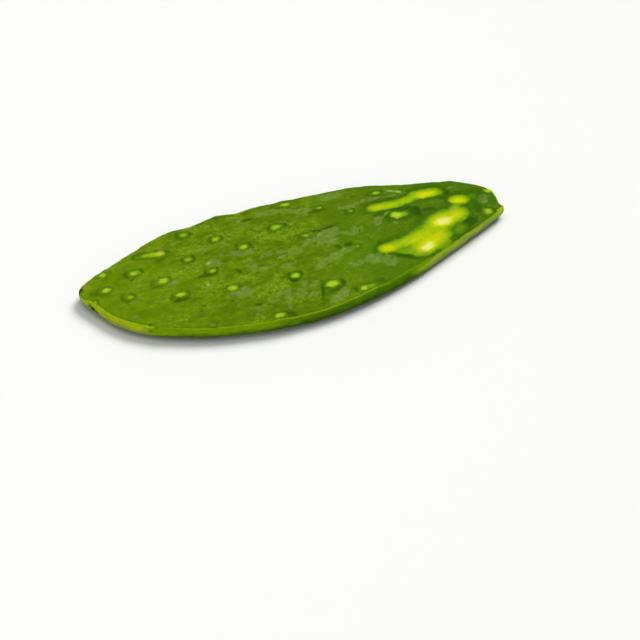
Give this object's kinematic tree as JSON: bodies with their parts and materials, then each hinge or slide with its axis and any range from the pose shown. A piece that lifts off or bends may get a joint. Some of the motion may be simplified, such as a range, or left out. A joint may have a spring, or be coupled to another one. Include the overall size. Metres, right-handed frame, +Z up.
{
  "type": "prickly pear cactus pad",
  "caption": "Cleaned prickly pear cactus pad: one long, flat, fleshy green pad with its spines pared off and its rim trimmed, lying flat.",
  "frame": {"origin": "middle of the pad's box on the surface that the pad rests on", "axes": "+X along the pad from its tip to its stem cut, +Y across it towards its straighter edge, +Z up out of the upper face"},
  "size_m": [0.22, 0.0895, 0.0096],
  "materials": {
    "pad_skin": "fresh waxy green plant skin, with pale yellow-green flesh where a knife has pared it"
  },
  "bodies": {
    "root": {"cactus_pad": "pad_skin"}
  },
  "joints": []
}
